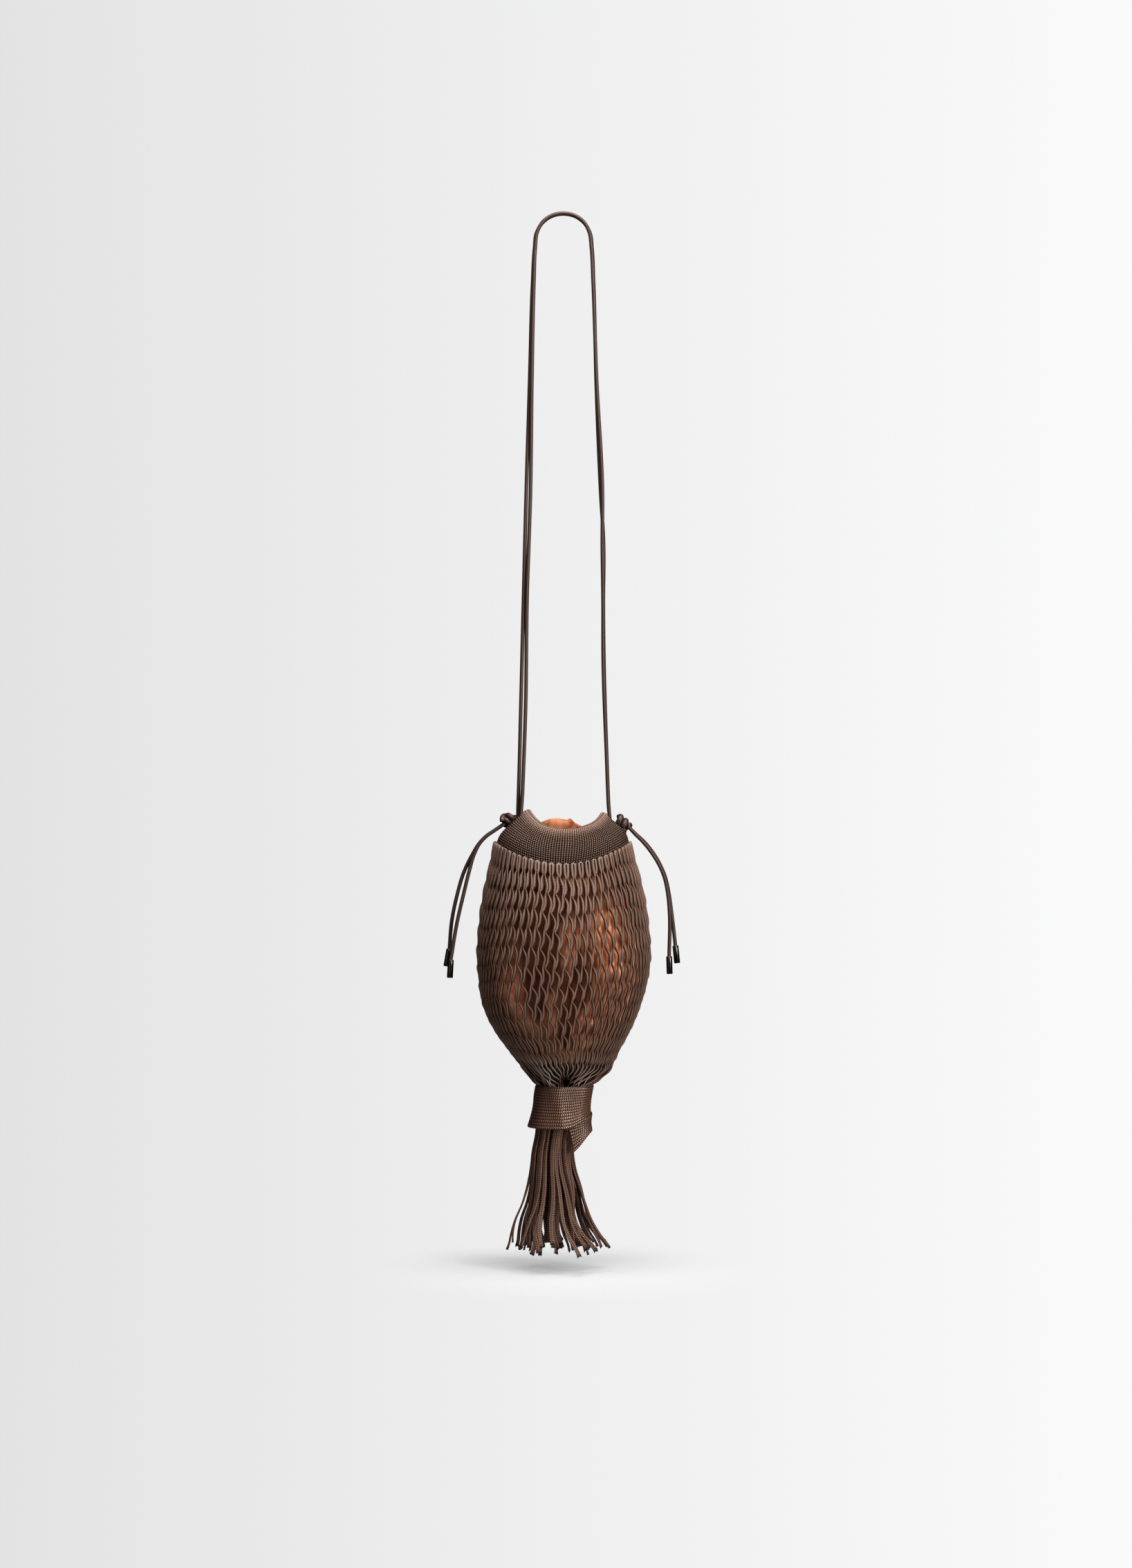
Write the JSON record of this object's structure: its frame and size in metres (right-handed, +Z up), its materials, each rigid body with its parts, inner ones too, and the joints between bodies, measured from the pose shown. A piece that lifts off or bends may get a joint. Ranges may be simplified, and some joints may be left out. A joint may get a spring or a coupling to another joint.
{
  "type": "drawstring net pouch handbag with tassel",
  "caption": "Drawstring pouch handbag: knitted collar, open net of flat braids over a gathered lining, cord strap with knots and tipped tails, and a wrapped tassel below.",
  "frame": {"origin": "the point under the top of the strap loop where the bag hangs", "axes": "+Z up along the hanging bag, +X to the right as seen from the front, the front faces -Y"},
  "size_m": [0.2175, 0.131, 0.9593],
  "materials": {
    "knit": "knitted viscose cord, dark brown with a soft sheen",
    "braid": "flat two-rib braid, dark brown with a soft sheen",
    "lining": "terracotta suede cloth, matt with a nap",
    "ribbon": "knitted ribbon, dark brown, glossy where it faces the light",
    "fringe": "cut flat braid with sealed dark ends",
    "cord": "round braided waxed cord, near-black brown, satin",
    "tip": "polished black nickel"
  },
  "bodies": {
    "root": {"collar": "knit", "net_pouch": "braid", "lining_pouch": "lining", "wrap_band": "ribbon", "wrap_tail": "ribbon", "tassel": "fringe", "strap_cord_front": "cord", "strap_cord_back": "cord", "knot_left": "cord", "knot_right": "cord", "tail_left_outer": "cord", "tail_left_inner": "cord", "tail_right_outer": "cord", "tail_right_inner": "cord", "tip_left_outer": "tip", "tip_left_inner": "tip", "tip_right_outer": "tip", "tip_right_inner": "tip"}
  },
  "joints": []
}
